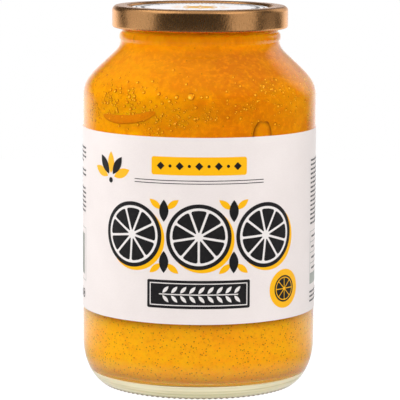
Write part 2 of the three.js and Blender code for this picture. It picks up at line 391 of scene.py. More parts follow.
# The threads: six short ramps of glass, pressed on the jar's mouth as one piece with it. The lugs of the lid
# run under them, and they climb at the lid's lead.
threads = 6
lid_lead = 11.8
thread_span = math.radians(44)
thread_behind = math.radians(8)
thread_steps = 22
thread_low = 176.4
thread_r = 39.9
thread_section = [
    (finish_r - 0.4, thread_low), (thread_r - 0.4, thread_low + 0.1), (thread_r, thread_low + 0.5),
    (thread_r - 0.3, thread_low + 1.3), (finish_r - 0.4, thread_low + 2.4),
]
thread = bmesh.new()
ramp_end = [thread.verts.new((r * mm, 0, z * mm)) for r, z in thread_section]
thread.faces.new(ramp_end)
climb = lid_lead * mm / (2 * math.pi)
bmesh.ops.spin(
    thread, geom=thread.verts[:] + thread.edges[:] + thread.faces[:], cent=(0, 0, 0), axis=(0, 0, 1),
    dvec=(0, 0, climb * thread_span / thread_steps), angle=thread_span, steps=thread_steps,
)
for vert in thread.verts:
    radius, angle = vert.co.xy.length, math.atan2(vert.co.y, vert.co.x)
    run_out = min(1, min(angle, thread_span - angle) / (0.2 * thread_span) + 0.1)
    if radius >= finish_r * mm:
        vert.co.xy *= (finish_r * mm + (radius - finish_r * mm) * run_out) / radius
bmesh.ops.rotate(thread, cent=(0, 0, 0), matrix=Matrix.Rotation(-thread_behind, 3, "Z"), verts=thread.verts)
bmesh.ops.translate(thread, vec=(0, 0, -climb * thread_behind), verts=thread.verts)
first_thread = thread.verts[:] + thread.edges[:] + thread.faces[:]
for i in range(1, threads):
    copy = bmesh.ops.duplicate(thread, geom=first_thread)["geom"]
    bmesh.ops.rotate(
        thread, cent=(0, 0, 0), matrix=Matrix.Rotation(i * 2 * math.pi / threads, 3, "Z"),
        verts=[part for part in copy if isinstance(part, bmesh.types.BMVert)],
    )
bmesh.ops.recalc_face_normals(thread, faces=thread.faces)
glass_threads = finished("jar_threads", thread, glass.data.materials[0])
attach(glass_threads, "jar")

# The preserve: amber jelly that was poured in hot and set against the glass, up into the neck. It glows where
# light soaks in, and carries cloudy wisps of pulp and fine dark specks of zest. film is the room for the air
# and the peel between it and the glass.
film = 0.45


def shrunk(outline, distance):
    """An outline moved towards its left, as its points run: up from the middle of the floor."""
    moved = []
    for i, (r, z) in enumerate(outline):
        before = outline[max(i - 1, 0)]
        after = outline[min(i + 1, len(outline) - 1)]
        way = Vector((after[0] - before[0], after[1] - before[1])).normalized()
        moved.append((max(r - way.y * distance, 0) if r else 0, z + way.x * distance))
    return moved


def blend(tree, share, under, over):
    """Mixes two colours by a share. Each of the three is a plain value or another node's output."""
    mixed = add_node(tree, "Mix", data_type="RGBA")
    for socket, source in ((0, share), (6, under), (7, over)):
        if isinstance(source, bpy.types.NodeSocket):
            tree.links.new(source, mixed.inputs[socket])
        else:
            mixed.inputs[socket].default_value = source
    return mixed.outputs[2]


def noise(tree, scale, low, high, top=1.0, stretch=(1, 1, 1), turn=(0, 0, 0), **values):
    """A soft pattern on the piece itself, from 0 where the noise is low to top where it is high."""
    place = add_node(tree, "TexCoord")
    mapping = add_node(tree, "Mapping", {"Scale": stretch, "Rotation": turn})
    texture = add_node(tree, "TexNoise", {"Scale": scale, "Detail": values.get("detail", 3.0),
                                          "Distortion": values.get("distortion", 0.0)})
    cut = add_node(tree, "MapRange", {"From Min": low, "From Max": high, "To Max": top})
    tree.links.new(place.outputs["Object"], mapping.inputs["Vector"])
    tree.links.new(mapping.outputs["Vector"], texture.inputs["Vector"])
    tree.links.new(texture.outputs["Fac"], cut.inputs["Value"])
    return cut.outputs["Result"]


def along_axis(tree, axis, low, high, top=1.0):
    """A share that goes from 0 at the millimetre low on an axis of the jar to top at the millimetre high."""
    place = add_node(tree, "TexCoord")
    axes = add_node(tree, "SeparateXYZ")
    cut = add_node(tree, "MapRange", {"From Min": low * mm, "From Max": high * mm, "To Max": top})
    tree.links.new(place.outputs["Object"], axes.inputs["Vector"])
    tree.links.new(axes.outputs[axis], cut.inputs["Value"])
    return cut.outputs["Result"]


def effect(name, amounts, outputs):
    """An empty node group with these number inputs and outputs. Gives the group, its start and its end."""
    group = bpy.data.node_groups.new(name, "ShaderNodeTree")
    for socket, value in amounts.items():
        made = group.interface.new_socket(socket, in_out="INPUT", socket_type="NodeSocketFloat")
        made.default_value = value
    for socket in outputs:
        group.interface.new_socket(socket, in_out="OUTPUT", socket_type="NodeSocketFloat")
    return group, group.nodes.new("NodeGroupInput"), group.nodes.new("NodeGroupOutput")


fine_specks, amounts, result = effect("fine_specks", {"Scale": 600, "Size": 0.16, "Share": 0.8}, ["Mask"])
place = add_node(fine_specks, "TexCoord")
cells = add_node(fine_specks, "TexVoronoi")
smaller = add_node(fine_specks, "Math", {1: 0.5}, operation="MULTIPLY")
spot = add_node(fine_specks, "MapRange")
fate = add_node(fine_specks, "SeparateColor")
kept = add_node(fine_specks, "Math", operation="LESS_THAN")
shown_spot = add_node(fine_specks, "Math", operation="MULTIPLY")
fine_specks.links.new(place.outputs["Object"], cells.inputs["Vector"])
fine_specks.links.new(amounts.outputs["Scale"], cells.inputs["Scale"])
fine_specks.links.new(amounts.outputs["Size"], smaller.inputs[0])
fine_specks.links.new(amounts.outputs["Size"], spot.inputs["From Min"])
fine_specks.links.new(smaller.outputs["Value"], spot.inputs["From Max"])
fine_specks.links.new(cells.outputs["Distance"], spot.inputs["Value"])
fine_specks.links.new(cells.outputs["Color"], fate.inputs["Color"])
fine_specks.links.new(fate.outputs["Red"], kept.inputs[0])
fine_specks.links.new(amounts.outputs["Share"], kept.inputs[1])
fine_specks.links.new(spot.outputs["Result"], shown_spot.inputs[0])
fine_specks.links.new(kept.outputs["Value"], shown_spot.inputs[1])
fine_specks.links.new(shown_spot.outputs["Value"], result.inputs["Mask"])


def product(tree, first, second):
    """Two shares multiplied."""
    times = add_node(tree, "Math", operation="MULTIPLY")
    for socket, source in enumerate((first, second)):
        if isinstance(source, bpy.types.NodeSocket):
            tree.links.new(source, times.inputs[socket])
        else:
            times.inputs[socket].default_value = source
    return times.outputs["Value"]


preserve_side = shrunk([p for p in cavity if p[1] < fill_z], film)
top_r = mouth_r - film
preserve_outline = preserve_side + [(top_r, fill_z - 0.6), (top_r - 0.6, fill_z), (0, fill_z - 0.3)]

preserve_finish, tree, shader = plain_finish(
    "preserve",
    {"Roughness": 0.35, "Specular IOR Level": 0.05, "Subsurface Weight": 1.0, "Subsurface Scale": 1.0,
     "Subsurface Radius": (4 * mm, 1.8 * mm, 0.4 * mm)},
)
amber = (0.7, 0.22, 0.0, 1)
golden = (1.0, 0.485, 0.0, 1)
deep_amber = (0.66, 0.195, 0.0, 1)
shoulder_painted_shade = (0.6, 0.18, 0.0, 1)
neck_painted_light = (1.0, 0.37, 0.0, 1)
pulp = (1.0, 0.41, 0.0, 1)
zest = (0.32, 0.12, 0.0, 1)
colour = blend(tree, along_axis(tree, "Z", 120, 40), amber, golden)
# Painted light: more golden on the left side, where the left lamp shines in, and towards the right edge.
colour = blend(tree, along_axis(tree, "X", 12, -30, top=0.8), colour, golden)
colour = blend(tree, along_axis(tree, "X", 26, 55, top=0.6), colour, golden)
# Painted shade darkens the shoulder, and painted light brightens the neck in the lid's shade.
colour = blend(tree, along_axis(tree, "Z", 141, 153, top=0.4), colour, shoulder_painted_shade)
colour = blend(tree, along_axis(tree, "Z", 163, 168, top=0.9), colour, neck_painted_light)
upper = along_axis(tree, "Z", -20, 100)
clouds = noise(tree, 22, 0.48, 0.7, top=0.35, distortion=0.8)
streaks = noise(tree, 26, 0.52, 0.66, top=0.4, stretch=(1, 1, 3), turn=(0, 0.6, 0), distortion=0.5)
colour = blend(tree, product(tree, clouds, upper), colour, deep_amber)
colour = blend(tree, product(tree, streaks, upper), colour, deep_amber)
wisps = noise(tree, 90, 0.48, 0.72, top=0.45, stretch=(1, 1, 2.2), detail=6.0, distortion=1.4)
colour = blend(tree, wisps, colour, pulp)
dapples = noise(tree, 130, 0.5, 0.3, top=0.45, detail=5.0, distortion=0.8)
colour = blend(tree, product(tree, dapples, upper), colour, deep_amber)
colour = blend(tree, noise(tree, 560, 0.5, 0.75, top=0.5, detail=1.5), colour, pulp)
colour = blend(tree, noise(tree, 640, 0.48, 0.25, top=0.35, detail=1.5), colour, deep_amber)
low_specks = add_node(tree, "Group", {"Scale": 640, "Size": 0.27, "Share": 0.95}, node_tree=fine_specks)
low = along_axis(tree, "Z", 62, 30, top=0.9)
colour = blend(tree, product(tree, low_specks.outputs["Mask"], low), colour, zest)
high_specks = add_node(tree, "Group", {"Scale": 300, "Size": 0.13, "Share": 0.3}, node_tree=fine_specks)
colour = blend(tree, product(tree, high_specks.outputs["Mask"], 0.7), colour, zest)
tree.links.new(colour, shader.inputs["Base Color"])

preserve = finished("preserve_body", turned(preserve_outline, 160), preserve_finish)
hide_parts("preserve")
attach(preserve, "jar")

# The air in the preserve: bubbles of all sizes that set against the glass, most of them near the shoulder.
# Each is a flat drop that stands out from the jelly towards the glass, with painted shade on its side away
# from the light and a painted highlight on the other.
bubble_finish, tree, shader = plain_finish(
    "air_bubble", {"Roughness": 0.15, "Specular IOR Level": 0.3},
)
# The dark side of each bubble is painted shade, and its bright spot is a painted highlight.
painted_shade_side = add_node(tree, "Attribute", attribute_name="painted_shade_side")
gleam = add_node(tree, "Attribute", attribute_name="gleam")
colour = blend(tree, painted_shade_side.outputs["Fac"], (0.97, 0.36, 0.0, 1), (0.40, 0.09, 0.0, 1))
colour = blend(tree, gleam.outputs["Fac"], colour, (1.0, 0.74, 0.09, 1))
tree.links.new(colour, shader.inputs["Base Color"])


def on_preserve(angle, z):
    """Where the jelly's surface is, at degrees from the front and a height, with its right, up and out."""
    below, above = [pair for pair in zip(preserve_side, preserve_side[1:]) if pair[0][1] <= z < pair[1][1]][0]
    share = (z - below[1]) / (above[1] - below[1])
    radius = below[0] + (above[0] - below[0]) * share
    climb = Vector((above[0] - below[0], 0, above[1] - below[1])).normalized()
    round_jar = Matrix.Rotation(math.radians(angle - 90), 4, "Z")
    local = Matrix.Identity(4)
    for column, axis in enumerate((Vector((0, 1, 0)), climb, Vector((climb.z, 0, -climb.x)))):
        local.col[column] = (*axis, 0)
    return round_jar @ Matrix.Translation((radius * mm, 0, z * mm)) @ local


def bubble_drop(fineness):
    """The mesh of one round bubble, with the shares of its painted shade and its painted highlight."""
    work = bmesh.new()
    shades = [work.verts.layers.float.new(name) for name in ("painted_shade_side", "gleam")]
    for vert in bmesh.ops.create_icosphere(work, subdivisions=fineness, radius=1)["verts"]:
        across, up = vert.co.x, vert.co.y
        # Painted shade towards the upper right of each bubble, and a painted highlight towards the lower
        # left.
        vert[shades[0]] = min(max((math.hypot(across + 0.24, up + 0.18) - 0.72) / 0.3, 0), 1)
        vert[shades[1]] = min(max(1 - math.hypot(across + 0.42, up + 0.3) / 0.5, 0), 1)
    drop = bpy.data.meshes.new("bubble_drop")
    work.to_mesh(drop)
    work.free()
    return drop


small_drop, large_drop = bubble_drop(1), bubble_drop(2)
bubbles = bmesh.new()


def bubble(angle, z, size):
    """Adds one bubble, size millimetres from its middle to its rim, at this angle and height."""
    stands = min(film - 0.06, 0.5 * size)
    spread = Matrix.Diagonal((size * mm, size * mm, stands * mm, 1))
    drop = (large_drop if size > 0.4 else small_drop).copy()
    drop.transform(on_preserve(angle, z) @ spread)
    bubbles.from_mesh(drop)
    bpy.data.meshes.remove(drop)


# Bubbles that show in front, one by one: their degrees from the front, their height and their size.
front_bubbles = [
    (-29.5, 146.5, 0.8), (-31.5, 148.5, 0.6), (-21.0, 146.2, 0.9), (-23.0, 148.0, 0.5), (-42.0, 150.0, 0.7),
    (36.0, 149.0, 0.8), (39.0, 151.5, 0.7), (46.5, 151.0, 0.8), (49.0, 148.5, 0.6), (22.0, 149.5, 0.7),
    (-4.3, 145.5, 1.7), (-11.5, 145.2, 1.0), (-15.0, 143.5, 0.8), (-25.0, 143.0, 0.7), (-48, 146, 0.9),
    (-50.5, 143.5, 0.7), (-52.5, 148, 0.6), (-37.5, 144.5, 0.9), (-36, 146.0, 0.6), (-35.0, 143.5, 0.7),
    (-28.5, 140.5, 0.8), (-25.5, 139.0, 0.6), (-22.0, 141.0, 0.7), (-18.5, 137.5, 0.6), (-13.5, 139.2, 0.5),
    (-51, 133.5, 0.8), (-4.8, 136.5, 0.7), (-2.2, 135.5, 0.9), (-20.5, 130.5, 0.7), (-14.0, 129.8, 0.6),
    (-7.3, 131.5, 0.6), (-44.0, 130.5, 0.7), (-54.5, 140.8, 0.9), (-45.0, 142.5, 0.6), (-36.5, 139.0, 0.9),
    (-34.0, 139.6, 0.6), (6.5, 141.0, 0.5), (14.0, 144.0, 0.6), (21.0, 139.0, 0.5), (31.0, 143.5, 0.6),
    (43.0, 140.5, 0.9), (47.5, 146.0, 0.7), (52.0, 137.0, 0.6), (27.0, 133.0, 0.6), (41.0, 132.0, 0.8),
]
for angle, z, size in front_bubbles:
    bubble(angle, z, size)
# The small ones: some spread all round above the label, some in clusters, and the smallest below the label.
draw = random.Random(21)
spread_out = 420
in_cluster = 26
below_label = 220
for _ in range(spread_out):
    bubble(draw.uniform(-180, 180), 128 + 36 * draw.triangular(0, 1, 0.4),
           0.3 + 0.5 * draw.random() ** 2.5)
clusters = [
    (-52, 143), (-46, 139), (-38, 142), (-31, 136), (-24, 131), (-14, 136), (-6, 133), (3, 137), (24, 141),
]
clusters += [(draw.uniform(40, 300), draw.uniform(129, 150)) for _ in range(26)]
for cluster_angle, cluster_z in clusters:
    for _ in range(in_cluster):
        bubble(draw.gauss(cluster_angle, 3.4), min(max(draw.gauss(cluster_z, 2.6), 127.5), 160),
               0.28 + 0.5 * draw.random() ** 2.5)
for _ in range(below_label):
    bubble(draw.uniform(-180, 180), draw.uniform(16, 37), draw.uniform(0.18, 0.34))
for drop in (small_drop, large_drop):
    bpy.data.meshes.remove(drop)
air_bubbles = finished("air_bubbles", bubbles, bubble_finish)
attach(air_bubbles, "jar")

# The peel: strips of rind cut by hand, which the setting jelly holds flat against the glass. Some show their
# dark oily skin and some their pale pith, and the cut edge, sunk in the jelly, carries painted shade that is
# darker than both.
def peel_colour(name, middle, spots, edge):
    """A finish for peel: its own colour in the middle, its oil glands as spots, and painted shade on its cut
    edge.
    """
    material, tree, shader = plain_finish(
        name,
        {"Roughness": 0.5, "Specular IOR Level": 0.06, "Subsurface Weight": 0.4, "Subsurface Scale": 1.0,
         "Subsurface Radius": (2 * mm, 0.8 * mm, 0.2 * mm)},
    )
    cut_edge_shade = add_node(tree, "Attribute", attribute_name="cut_edge_shade")
    glands = add_node(tree, "Group", {"Scale": 700, "Size": 0.32, "Share": 0.75}, node_tree=fine_specks)
    colour = blend(tree, noise(tree, 260, 0.4, 0.75, top=0.6, detail=4.0), middle, spots)
    colour = blend(tree, product(tree, glands.outputs["Mask"], 0.55), colour, spots)
    colour = blend(tree, cut_edge_shade.outputs["Fac"], colour, edge)
    dents = add_node(tree, "Bump", {"Strength": 0.5, "Distance": 0.3 * mm})
    tree.links.new(glands.outputs["Mask"], dents.inputs["Height"])
    tree.links.new(dents.outputs["Normal"], shader.inputs["Normal"])
    tree.links.new(colour, shader.inputs["Base Color"])
    return material


# Each strip starts from its solid. Its outer face is moved out through the jelly, just short of the glass,
# and the rim round that face is its cut edge. Rounding draws a strip in, so it is made larger first.
rounding_loss = 1.15
# pith_inset draws in the outer face of the pith strips, which widens the painted shade round it.
pith_inset = 0.7
outer_face_depth = 0.6
cut_edge_depth = 1.25
# The third colour of each is painted shade for the cut edge, darkest on the pith.
skin_side = peel_colour("peel_skin", (0.74, 0.235, 0.0, 1), (0.60, 0.165, 0.0, 1), (0.66, 0.19, 0.0, 1))
pith_side = peel_colour("peel_pith", (0.76, 0.30, 0.0, 1), (0.74, 0.19, 0.0, 1), (0.24, 0.05, 0.0, 1))
for number, node in enumerate(sorted(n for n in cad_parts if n.startswith("peel_"))):
    strip = bmesh.new()
    strip.from_mesh(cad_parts[node].data)
    bmesh.ops.remove_doubles(strip, verts=strip.verts, dist=0.01 * mm)
    bmesh.ops.dissolve_limit(strip, angle_limit=0.02, verts=strip.verts, edges=strip.edges)
    bmesh.ops.recalc_face_normals(strip, faces=strip.faces)
    cut_edge_shade = strip.verts.layers.float.new("cut_edge_shade")
    middle = sum((vert.co for vert in strip.verts), Vector()) / len(strip.verts)
    turn = Matrix.Rotation(math.atan2(middle.y, middle.x), 3, "Z")
    shows_pith = number % 3 == 1
    for vert in strip.verts:
        vert.co = turn.inverted() @ vert.co
        depth_in = inner_r - vert.co.xy.length / mm
        on_outer_face = depth_in < outer_face_depth
        radius = inner_r - (0.05 if on_outer_face else 0.12 if depth_in < cut_edge_depth else depth_in)
        spread = rounding_loss * (pith_inset if on_outer_face and shows_pith else 1)
        angle = math.atan2(vert.co.y, vert.co.x) * spread
        up = middle.z + (vert.co.z - middle.z) * spread
        vert.co = turn @ Vector((radius * mm * math.cos(angle), radius * mm * math.sin(angle), up))
        vert[cut_edge_shade] = 0.0 if on_outer_face else 1.0
    rind = finished(node + "_rind", strip, pith_side if shows_pith else skin_side)
    rounding = rind.modifiers.new("rounding", "SUBSURF")
    rounding.levels = rounding.render_levels = 2
    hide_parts(node)
    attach(rind, "jar")

# The label: one sheet of satin paper, glued round the straight part of the body. Its two ends are a few
# millimetres apart at the back.
label_low, label_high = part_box("label")
glue = 0.06
paper = 0.12
label_in_r = body_r + glue
label_out_r = label_in_r + paper
label_gap = math.radians(7.5)

paper_fibre, amounts, result = effect("paper_fibre", {"Scale": 900, "Stretch": 3}, ["Shade", "Height"])
place = add_node(paper_fibre, "TexCoord")
length = add_node(paper_fibre, "CombineXYZ", {"X": 1, "Y": 1})
laid = add_node(paper_fibre, "VectorMath", operation="MULTIPLY")
fibres = add_node(paper_fibre, "TexNoise", {"Detail": 5.0, "Roughness": 0.6, "Distortion": 0.4})
blotches = add_node(paper_fibre, "TexNoise", {"Scale": 60, "Detail": 2.0})
both = add_node(paper_fibre, "Math", operation="ADD")
shade = add_node(paper_fibre, "MapRange", {"From Min": 0.7, "From Max": 1.3})
paper_fibre.links.new(amounts.outputs["Stretch"], length.inputs["Z"])
paper_fibre.links.new(place.outputs["Object"], laid.inputs[0])
paper_fibre.links.new(length.outputs["Vector"], laid.inputs[1])
paper_fibre.links.new(laid.outputs["Vector"], fibres.inputs["Vector"])
paper_fibre.links.new(amounts.outputs["Scale"], fibres.inputs["Scale"])
paper_fibre.links.new(place.outputs["Object"], blotches.inputs["Vector"])
paper_fibre.links.new(fibres.outputs["Fac"], both.inputs[0])
paper_fibre.links.new(blotches.outputs["Fac"], both.inputs[1])
paper_fibre.links.new(both.outputs["Value"], shade.inputs["Value"])
paper_fibre.links.new(shade.outputs["Result"], result.inputs["Shade"])
paper_fibre.links.new(fibres.outputs["Fac"], result.inputs["Height"])


def paper_finish(name, light, dark, roughness, gloss):
    """White paper whose fibres show faintly in its colour and its surface."""
    material, tree, shader = plain_finish(name, {"Roughness": roughness, "Specular IOR Level": gloss})
    fibre = add_node(tree, "Group", node_tree=paper_fibre)
    raised = add_node(tree, "Bump", {"Strength": 0.3, "Distance": 0.05 * mm})
    tree.links.new(fibre.outputs["Height"], raised.inputs["Height"])
    tree.links.new(raised.outputs["Normal"], shader.inputs["Normal"])
    tree.links.new(blend(tree, fibre.outputs["Shade"], dark, light), shader.inputs["Base Color"])
    return material


wrap = bmesh.new()
edge_of_sheet = [
    wrap.verts.new((0, label_in_r * mm, label_low.z)), wrap.verts.new((0, label_out_r * mm, label_low.z)),
    wrap.verts.new((0, label_out_r * mm, label_high.z)), wrap.verts.new((0, label_in_r * mm, label_high.z)),
]
wrap.faces.new(edge_of_sheet)
bmesh.ops.rotate(wrap, cent=(0, 0, 0), matrix=Matrix.Rotation(label_gap / 2, 3, "Z"), verts=wrap.verts)
bmesh.ops.spin(
    wrap, geom=wrap.verts[:] + wrap.edges[:] + wrap.faces[:], cent=(0, 0, 0), axis=(0, 0, 1), dvec=(0, 0, 0),
    angle=2 * math.pi - label_gap, steps=280,
)
bmesh.ops.recalc_face_normals(wrap, faces=wrap.faces)
label = finished(
    "label_sheet", wrap,
    paper_finish("label_paper", (0.89, 0.81, 0.785, 1), (0.84, 0.76, 0.735, 1), roughness=0.42, gloss=0.4),
)
label.modifiers.new("crisp_edges", "EDGE_SPLIT").split_angle = math.radians(40)
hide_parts("label")
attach(label, "jar")

# The print on the label: flat shapes of black, yellow, grey and white ink, each a very thin solid on the
# paper. It is drawn in millimetres, along the label from the middle of its front and up from the table.
ink_depth = 0.02


def placed(x, y, turn=0, wide=1, high=1):
    """Where a printed shape goes, how far it is turned, and how wide and high it is."""
    return (
        Matrix.Translation((x, y, 0)) @ Matrix.Rotation(math.radians(turn), 4, "Z")
        @ Matrix.Diagonal((wide, high, 1, 1))
    )


def bar(ink, x, y, wide, high, turn=0, corner=0):
    """A printed bar, with its corners rounded if corner is given."""
    ends = bmesh.ops.create_grid(
        ink, x_segments=1, y_segments=1, size=0.5, matrix=placed(x, y, turn, wide, high),
    )
    if corner:
        bmesh.ops.bevel(
            ink, geom=ends["verts"], affect="VERTICES", offset=corner, segments=4, profile=0.5, material=-1,
        )


def ring(ink, x, y, outer, inner, steps=72):
    """A printed ring."""
    knots = [ink.verts.new((x + r, y, 0)) for r in (inner, outer)]
    edge = ink.edges.new(knots)
    bmesh.ops.spin(
        ink, geom=knots + [edge], cent=(x, y, 0), axis=(0, 0, 1), dvec=(0, 0, 0), angle=2 * math.pi,
        steps=steps, use_merge=True,
    )


def dot(ink, x, y, radius, steps=48):
    """A printed dot."""
    bmesh.ops.create_circle(ink, cap_ends=True, segments=steps, radius=radius, matrix=placed(x, y))


def leaf(ink, x, y, length, width, turn):
    """A leaf with two pointed ends: a circle drawn in towards its long axis."""
    rim = bmesh.ops.create_circle(ink, cap_ends=True, segments=24, radius=0.5)["verts"]
    for vert in rim:
        vert.co.y *= 2 * abs(vert.co.y)
    bmesh.ops.transform(ink, matrix=placed(x, y, turn, length, width), verts=rim)


def frame_line(ink, x, y, wide, high, line):
    """Four bars round a box."""
    for side in (-1, 1):
        bar(ink, x, y + side * (high - line) / 2, wide, line)
        bar(ink, x + side * (wide - line) / 2, y, line, high - 2 * line)


def fruit_slice(ink, x, y, radius, turn=0, wedges=9):
    """A slice of citrus fruit: a ring of rind with rounded wedges in it."""
    ring(ink, x, y, radius, radius * 0.88)
    per_wedge = 4
    fan = bmesh.ops.create_circle(
        ink, cap_ends=True, cap_tris=True, segments=per_wedge * wedges, radius=radius * 0.84,
        matrix=placed(x, y, turn),
    )["verts"]
    middle = max(fan, key=lambda vert: len(vert.link_edges))
    around = sorted(
        middle.link_edges,
        key=lambda edge: math.atan2(edge.other_vert(middle).co.y - y, edge.other_vert(middle).co.x - x),
    )
    bmesh.ops.dissolve_edges(ink, edges=[edge for i, edge in enumerate(around) if i % per_wedge])
    pieces = list(middle.link_faces)
    frames = bmesh.ops.inset_individual(ink, faces=pieces, thickness=radius * 0.035, use_even_offset=True)
    bmesh.ops.delete(ink, geom=frames["faces"], context="FACES")
    corners = [loop.vert for piece in pieces for loop in piece.loops if loop.calc_angle() < 2.2]
    bmesh.ops.bevel(
        ink, geom=corners, affect="VERTICES", offset=radius * 0.05, segments=3, profile=0.5, material=-1,
    )


def thickened(ink):
    """Turns flat shapes face up and gives them the depth of the ink."""
    loose = [vert for vert in ink.verts if not vert.link_faces]
    bmesh.ops.delete(ink, geom=loose, context="VERTS")
    top = bmesh.ops.extrude_face_region(ink, geom=ink.faces[:])["geom"]
    raised = [part for part in top if isinstance(part, bmesh.types.BMVert)]
    bmesh.ops.translate(ink, vec=(0, 0, ink_depth), verts=raised)
    bmesh.ops.recalc_face_normals(ink, faces=ink.faces)


def print_on_label(name, ink, lift, material):
    """Cuts the shapes into narrow upright strips, so they bend, and wraps them round the label."""
    strip_width = 2.5
    for cut in range(-70, 71):
        bmesh.ops.bisect_plane(
            ink, geom=ink.verts[:] + ink.edges[:] + ink.faces[:], plane_co=(cut * strip_width, 0, 0),
            plane_no=(1, 0, 0), dist=0.0001,
        )
    thickened(ink)
    for vert in ink.verts:
        angle = vert.co.x / label_out_r
        radius = label_out_r + lift + vert.co.z
        vert.co = (radius * mm * math.sin(angle), -radius * mm * math.cos(angle), vert.co.y * mm)
    made = finished(name, ink, material)
    made.data.shade_flat()
    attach(made, "jar")


def ink_finish(name, colour, worn):
    """Printing ink, a little uneven where the paper took less of it."""
    material, tree, shader = plain_finish(name, {"Roughness": 0.38, "Specular IOR Level": 0.35})
    uneven = noise(tree, 700, 0.45, 0.8, top=0.5, detail=4.0)
    tree.links.new(blend(tree, uneven, colour, worn), shader.inputs["Base Color"])
    return material


black_ink = ink_finish("black_ink", (0.012, 0.011, 0.012, 1), (0.03, 0.028, 0.028, 1))
yellow_ink = ink_finish("yellow_ink", (1.0, 0.50, 0.004, 1), (0.93, 0.47, 0.01, 1))
grey_ink = ink_finish("grey_ink", (0.36, 0.38, 0.34, 1), (0.44, 0.46, 0.42, 1))
white_ink = ink_finish("white_ink", (0.86, 0.81, 0.79, 1), (0.80, 0.76, 0.74, 1))

yellow = bmesh.new()
black = bmesh.new()
grey = bmesh.new()
backing = bmesh.new()
white = bmesh.new()

# Three big slices stand in a row, black on a yellow shadow, with leaves in the gaps between them.
row_z = 80
row_pitch = 33.5
slice_r = 15.6
for x in (-row_pitch, 0, row_pitch):
    dot(yellow, x + 1.5, row_z - 1.5, slice_r, 72)
    dot(backing, x, row_z, 14.0, 72)
    fruit_slice(black, x, row_z, slice_r, turn=x)
for x in (-row_pitch / 2, row_pitch / 2):
    for side in (-1, 1):
        leaf(black, x, row_z + side * 12.2, 10.5, 4.6, 90)
        leaf(yellow, x + 4.2, row_z + side * 15.2, 7.5, 3.0, side * 38)
        leaf(yellow, x - 4.2, row_z + side * 15.2, 7.5, 3.0, -side * 38)

# A yellow bar with a row of small ornaments stands over them, and a black panel with a sprig under them.
bar_z = 113.5
panel_mid_z = 52.5
bar(yellow, 0, bar_z, 46, 8.6, corner=1.2)
for i in range(-4, 5):
    if i % 2:
        dot(black, i * 4.6, bar_z, 0.75, 20)
    else:
        bar(black, i * 4.6, bar_z, 2.7, 2.7, turn=45)
for z in (105.2, 106.6):
    bar(black, 0, z, 64, 0.35)
bar(black, 0, panel_mid_z, 50, 13.5, corner=0.8)
frame_line(white, 0, panel_mid_z, 47.4, 10.9, 0.45)
bar(white, 0, panel_mid_z, 38, 0.5)
for i in range(-4, 5):
    for side in (-1, 1):
        leaf(white, i * 4.3 + 1.4, panel_mid_z + side * 2.2, 4.4, 1.7, side * 48)

# A yellow disc with a small slice stands at the lower right, and a fan of leaves at the upper left.
disc_x, disc_z = 45.5, 53
fan_x, fan_z = -47, 105.5
fan_r = 7.6
dot(yellow, disc_x, disc_z, 9.4, 56)
fruit_slice(black, disc_x, disc_z, 6.4, turn=12, wedges=8)
for i in range(-2, 3):
    turn = math.radians(34 * i)
    leaf(
        black if i % 2 else yellow, fan_x + fan_r * math.sin(turn), fan_z + fan_r * math.cos(turn),
        10.5, 4.4, 90 - 34 * i,
    )
dot(black, fan_x, fan_z - 0.9, 1.3, 24)

# Small print at the sides and back: rows of plain bars in place of words, and plain ruled boxes.
draw = random.Random(5)


def small_print(ink, left, right, top, bottom, pitch=2.2, height=0.85):
    """Rows of short bars, as words look from too far off to be read."""
    z = top
    while z > bottom:
        x = left
        row_end = right - (draw.uniform(4, 16) if draw.random() < 0.25 else 0)
        while x < row_end - 1:
            word = min(draw.uniform(1.6, 6.4), row_end - x)
            bar(ink, x + word / 2, z, word, height)
            x += word + 0.8
        z -= pitch


small_print(black, -112, -73.5, 117, 84)
small_print(black, 70.5, 112, 112, 81)
ruled_z = 65
frame_line(grey, -92, ruled_z, 37, 26, 0.3)
for i in range(24):
    bar(grey, -108 + i * 1.35, ruled_z, draw.choice((0.35, 0.6, 0.85)), 20)
for x in (-78, -84.5):
    ring(black, x, 45.5, 2.3, 1.7, 32)
    leaf(black, x, 45.5, 2.6, 1.2, 45)
table_x = 91
for i in range(4):
    table_row_z = 74.6 - i * 5.2
    frame_line(grey, table_x, table_row_z, 41, 5.5, 0.3)
    small_print(black, 73, 84, table_row_z, table_row_z - 0.6)
bar(grey, table_x, 54, 41, 5.2)
small_print(black, 70.5, 100, 47.5, 43)
for back_x in (-145, 145):
    small_print(black, back_x - 20, back_x + 20, 100, 64)
    dot(yellow, back_x, 113, 6.2, 48)
    fruit_slice(black, back_x, 113, 4.8, wedges=8)
    bar(black, back_x, 52, 40, 0.4)

print_on_label("print_yellow", yellow, lift=0.03, material=yellow_ink)
print_on_label("print_backing", backing, lift=0.06, material=white_ink)
print_on_label("print_black", black, lift=0.09, material=black_ink)
print_on_label("print_white", white, lift=0.12, material=white_ink)
print_on_label("print_grey", grey, lift=0.03, material=grey_ink)

# The lid: lacquered tinplate, drawn with a raised ring over the gasket, and rolled in at its lower edge.
# In six places the roll is pressed flat and inwards, and these lugs grip under the threads of the glass.
lid_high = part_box("lid")[1]
lid_r = lid_high.x / mm
lid_top = lid_high.z / mm
sheet_metal = 0.3
panel_r = 34
panel_z = lid_top - 1.3
corner = 2.2
curl_r = 1.15
curl_z = 175.9
lugs = 6
lug_span = math.radians(12)
lid_outside = [
    (0, panel_z),
    (panel_r - 1, panel_z),
    (panel_r, panel_z),
    *curve((panel_r, panel_z), (panel_r + 1.2, panel_z), (panel_r + 1.2, lid_top), (panel_r + 2.4, lid_top),
           10),
    (lid_r - corner, lid_top),
    *curve((lid_r - corner, lid_top), (lid_r - corner * 0.45, lid_top), (lid_r, lid_top - corner * 0.55),
           (lid_r, lid_top - corner), 10),
    (lid_r, curl_z + 3),
    *[(lid_r - curl_r + curl_r * math.cos(a), curl_z - curl_r * math.sin(a))
      for a in (i * math.pi / 14 for i in range(15))],
]
lid_inside = shrunk(lid_outside, -sheet_metal)

